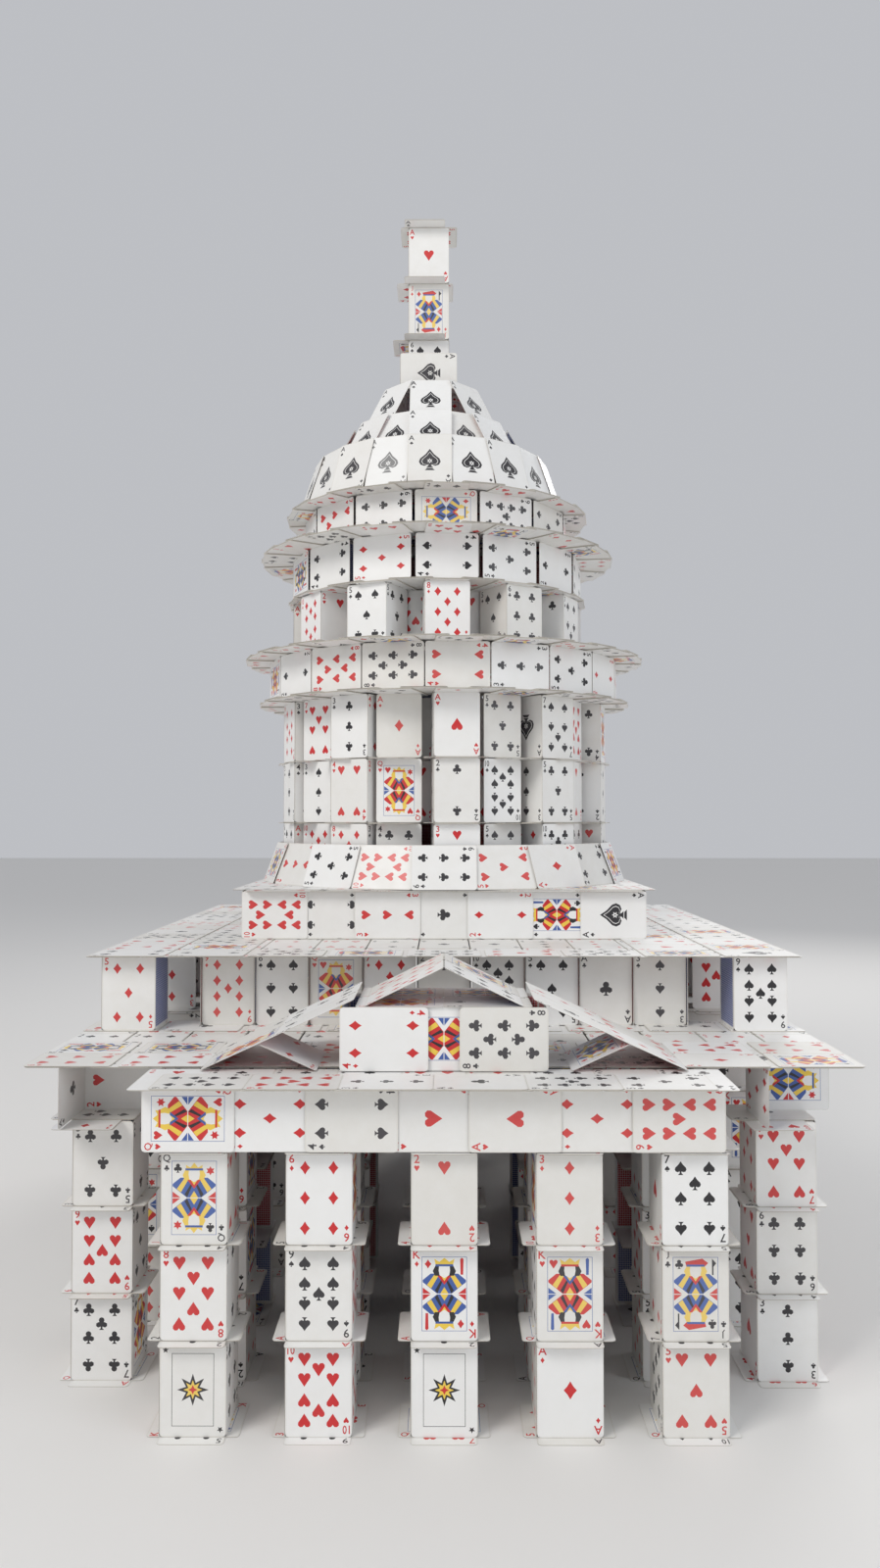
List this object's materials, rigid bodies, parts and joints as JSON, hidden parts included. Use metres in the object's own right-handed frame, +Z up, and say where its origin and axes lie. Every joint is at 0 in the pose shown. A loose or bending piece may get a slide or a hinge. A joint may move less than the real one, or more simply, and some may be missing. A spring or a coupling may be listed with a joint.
{
  "type": "house of cards model of a domed public building",
  "caption": "House of cards: a domed public building with portico, wings, round colonnade and spire, every card loose and standing or lying on the ones below.",
  "frame": {"origin": "bottom centre of the bounding box, on the surface the building stands on", "axes": "+Z up along the tower, -Y towards the portico front, +X to the right seen from the front"},
  "size_m": [0.852, 1.0626, 1.5158],
  "materials": {
    "card": "coated paper board with printed faces, satin"
  },
  "bodies": {
    "root": {"ground_flats_lower": "card", "ground_flats_upper": "card", "portico_columns_storey_1": "card", "portico_columns_storey_2": "card", "portico_columns_storey_3": "card", "hall_columns_storey_1": "card", "hall_columns_storey_2": "card", "hall_columns_storey_3": "card", "column_flats_lower": "card", "column_flats_upper": "card", "entablature_cards": "card", "mezzanine_cells": "card", "portico_roof_lower": "card", "portico_roof_upper": "card", "wing_roof_lower": "card", "wing_roof_upper": "card", "attic_box": "card", "attic_flats": "card", "pediment_lower_slopes": "card", "pediment_upper_slopes": "card", "pediment_props": "card", "pediment_gable": "card", "upper_storey_walls": "card", "upper_storey_cells": "card", "main_roof_lower": "card", "main_roof_upper": "card", "plinth_walls": "card", "plinth_cells": "card", "plinth_roof_lower": "card", "plinth_roof_upper": "card", "plinth_skirt": "card", "colonnade_columns_storey_1": "card", "colonnade_columns_storey_2": "card", "colonnade_columns_storey_3": "card", "colonnade_panels": "card", "colonnade_flats_lower": "card", "colonnade_flats_upper": "card", "ring_1_lower": "card", "ring_1_upper": "card", "band_1": "card", "ring_2_lower": "card", "ring_2_upper": "card", "band_2": "card", "ring_3_lower": "card", "ring_3_upper": "card", "band_3": "card", "ring_4_lower": "card", "ring_4_upper": "card", "band_4": "card", "ring_5_lower": "card", "ring_5_upper": "card", "dome_row_1": "card", "dome_row_2": "card", "dome_row_3": "card", "dome_core": "card", "dome_flats_lower": "card", "dome_flats_upper": "card", "lantern_box": "card", "spire_cells": "card"}
  },
  "joints": []
}
